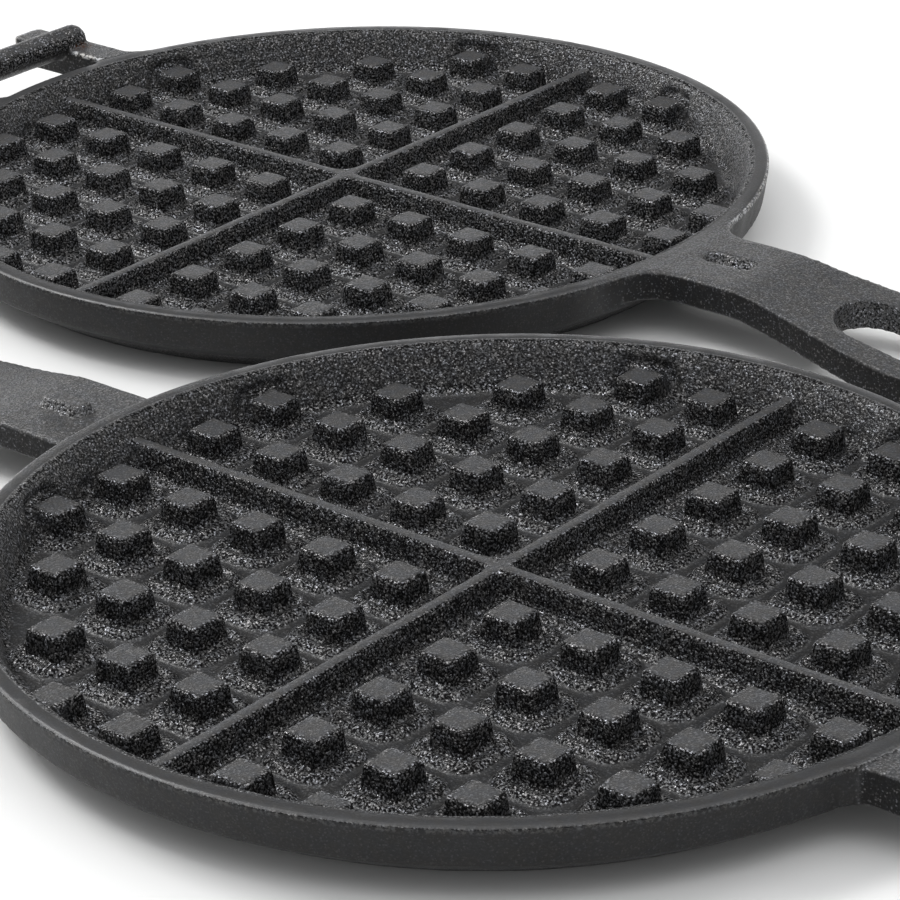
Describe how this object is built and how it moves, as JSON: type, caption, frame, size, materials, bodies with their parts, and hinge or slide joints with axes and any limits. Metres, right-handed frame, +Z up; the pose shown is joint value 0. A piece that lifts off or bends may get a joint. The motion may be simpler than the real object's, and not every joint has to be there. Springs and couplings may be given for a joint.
{
  "type": "waffle iron",
  "caption": "Round cast-iron stove-top waffle iron, its two halves unhooked and lying open side by side, each with a flared rim, square studs in quarters and a long slotted handle.",
  "frame": {"origin": "middle of the footprint of both halves together, on the table", "axes": "+X along the lower half's handle, from its plate towards the handle's end; +Z up out of the baking faces"},
  "size_m": [0.3956, 0.3232, 0.0194],
  "materials": {
    "cast_iron": "as-cast grain, ground rim face"
  },
  "bodies": {
    "lower_half": {"lower_plate_floor": "cast_iron", "lower_plate_rim": "cast_iron", "lower_plate_studs": "cast_iron", "lower_plate_ribs": "cast_iron", "lower_handle": "cast_iron", "lower_hinge_ears": "cast_iron", "lower_hinge_bar": "cast_iron"},
    "upper_half": {"upper_plate_floor": "cast_iron", "upper_plate_rim": "cast_iron", "upper_plate_studs": "cast_iron", "upper_plate_ribs": "cast_iron", "upper_handle": "cast_iron", "upper_handle_boss": "cast_iron", "upper_hinge_neck": "cast_iron", "upper_hinge_hook": "cast_iron"}
  },
  "joints": [
    {"name": "turn_over", "type": "hinge", "parent": "lower_half", "child": "upper_half", "pos_m": [0.1894, -0.066, 0.0136], "axis": [0, 1, 0], "range_deg": [0, 180]}
  ]
}
